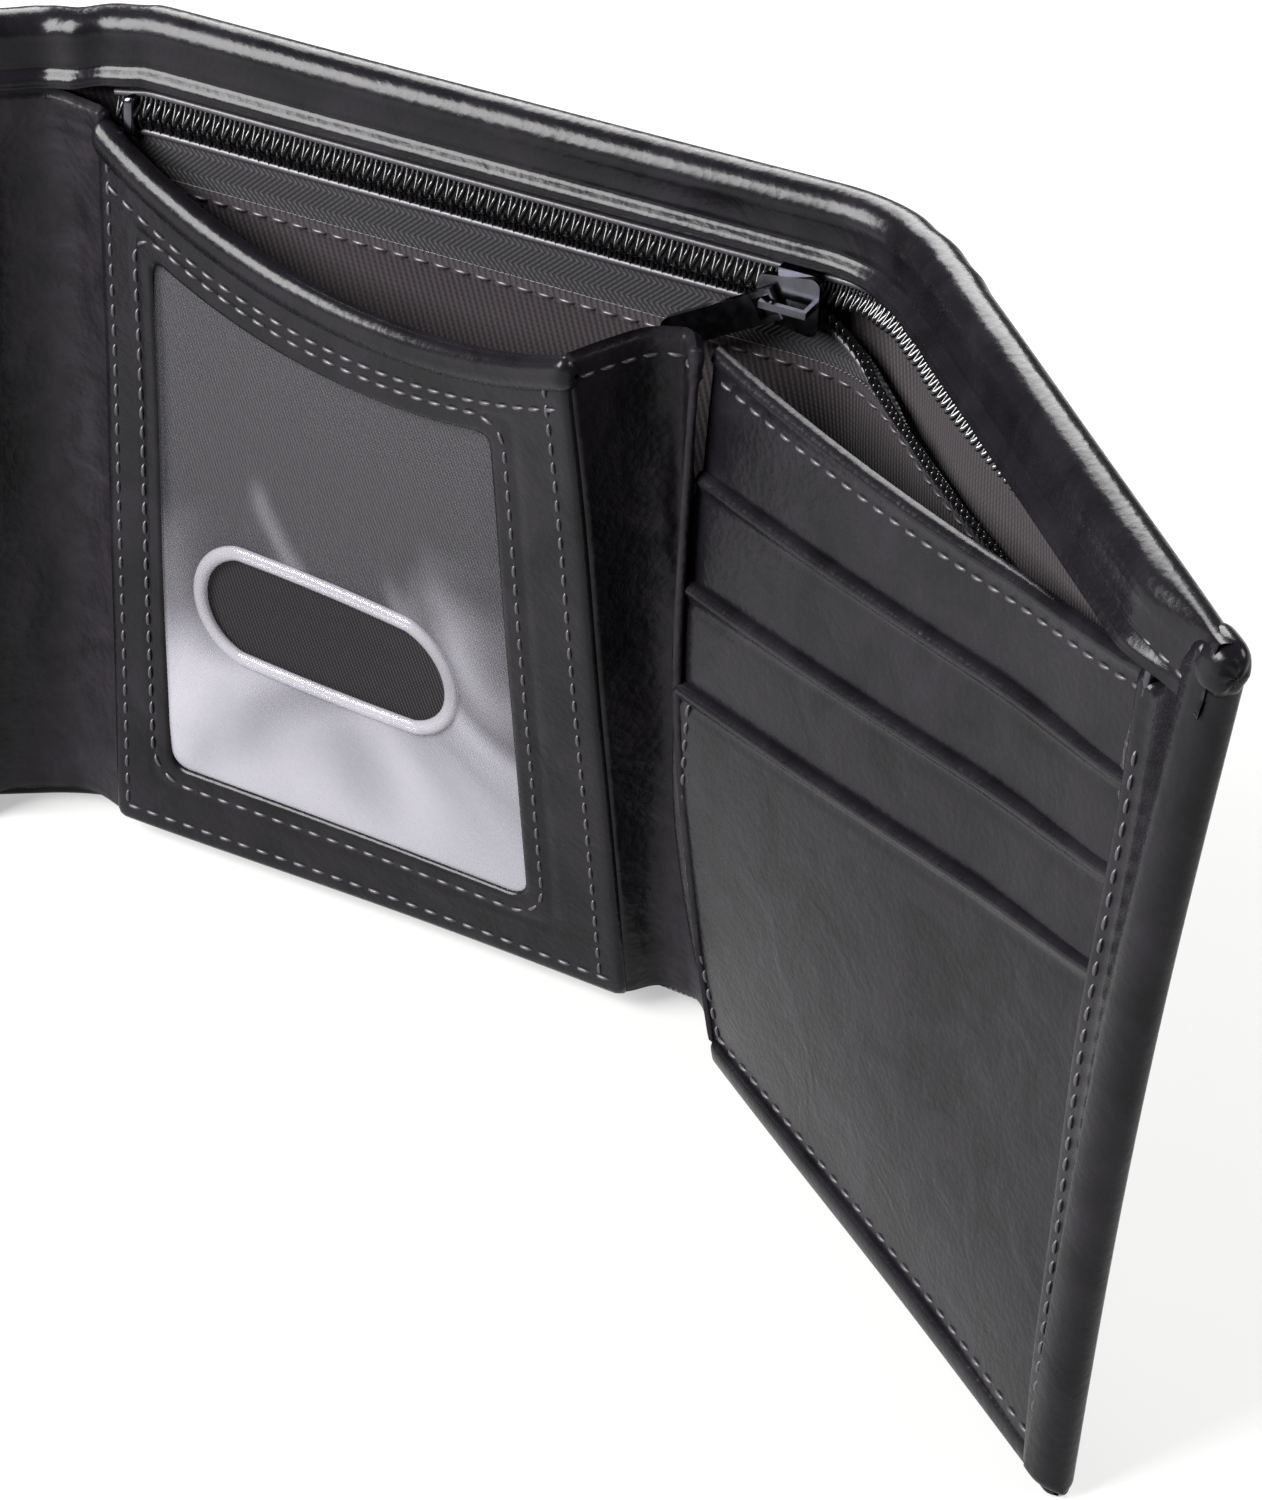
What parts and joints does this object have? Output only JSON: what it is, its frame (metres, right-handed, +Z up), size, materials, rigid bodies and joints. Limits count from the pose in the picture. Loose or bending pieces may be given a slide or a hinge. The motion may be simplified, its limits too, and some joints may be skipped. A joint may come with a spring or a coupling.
{
  "type": "trifold wallet",
  "caption": "Upright trifold leather wallet, partly open, with an ID window, stepped card slots, soft gussets and a zipped pocket inside the bill compartment.",
  "frame": {"origin": "centre of the wallet's box on the surface that it stands on", "axes": "+Z up along the folds, +X along the centre section from the left fold to the right fold, +Y out of the back of the centre section's cover"},
  "size_m": [0.2258, 0.0612, 0.112],
  "materials": {
    "leather": "satin",
    "soft_leather": "matte",
    "lining_cloth": "matte",
    "zip_tape": "matte",
    "zip_coil": "gloss",
    "zip_metal": "gloss",
    "clear_vinyl": "gloss"
  },
  "bodies": {
    "centre_section": {"cover_centre": "leather", "bill_lining_centre": "lining_cloth", "zip_facing_centre": "leather", "zip_pocket_cloth_centre": "lining_cloth", "zip_tape_upper_centre": "zip_tape", "zip_tape_lower_centre": "zip_tape", "zip_coil_upper_centre": "zip_coil", "zip_coil_lower_centre": "zip_coil", "zip_stop_left": "zip_metal", "centre_panel": "leather", "centre_top_edge": "leather", "id_window": "clear_vinyl", "id_backing": "lining_cloth", "centre_panel_lining": "lining_cloth", "gusset_right_centre": "soft_leather", "gusset_left_centre": "soft_leather"},
    "right_wing": {"cover_right": "leather", "bill_lining_right": "lining_cloth", "zip_facing_right": "leather", "zip_pocket_cloth_right": "lining_cloth", "zip_tape_upper_right": "zip_tape", "zip_tape_lower_right": "zip_tape", "zip_coil_upper_right": "zip_coil", "zip_coil_lower_right": "zip_coil", "zip_stop_right": "zip_metal", "gusset_right_wing": "soft_leather", "right_panel_back": "leather", "right_panel_lining": "lining_cloth", "right_slot_1": "leather", "right_slot_2": "leather", "right_front_pocket": "leather", "right_pocket_cloth_1": "lining_cloth", "right_pocket_cloth_2": "lining_cloth"},
    "left_wing": {"cover_left": "leather", "bill_lining_left": "lining_cloth", "gusset_left_wing": "soft_leather", "left_panel_back": "leather", "left_panel_lining": "lining_cloth", "left_slot_1": "leather", "left_slot_2": "leather", "left_front_pocket": "leather", "left_pocket_cloth_1": "lining_cloth", "left_pocket_cloth_2": "lining_cloth"},
    "zip_slider": {"zip_slider": "zip_metal"},
    "zip_pull": {"zip_pull": "zip_metal"}
  },
  "joints": [
    {"name": "right_fold", "type": "hinge", "parent": "centre_section", "child": "right_wing", "pos_m": [0.05277, 0.02905, 0.056], "axis": [0, 0, -1], "range_deg": [-44, 26]},
    {"name": "left_fold", "type": "hinge", "parent": "centre_section", "child": "left_wing", "pos_m": [-0.04323, 0.02905, 0.056], "axis": [0, 0, 1], "range_deg": [-33, 57]},
    {"name": "zip_run", "type": "slide", "parent": "centre_section", "child": "zip_slider", "axis": [1, 0, 0], "range_m": [-0.058, 0]},
    {"name": "pull_swing", "type": "hinge", "parent": "zip_slider", "child": "zip_pull", "pos_m": [0.04777, 0.0224, 0.0998], "axis": [-0.5, 0, 0.866], "range_deg": [0, 90]}
  ]
}
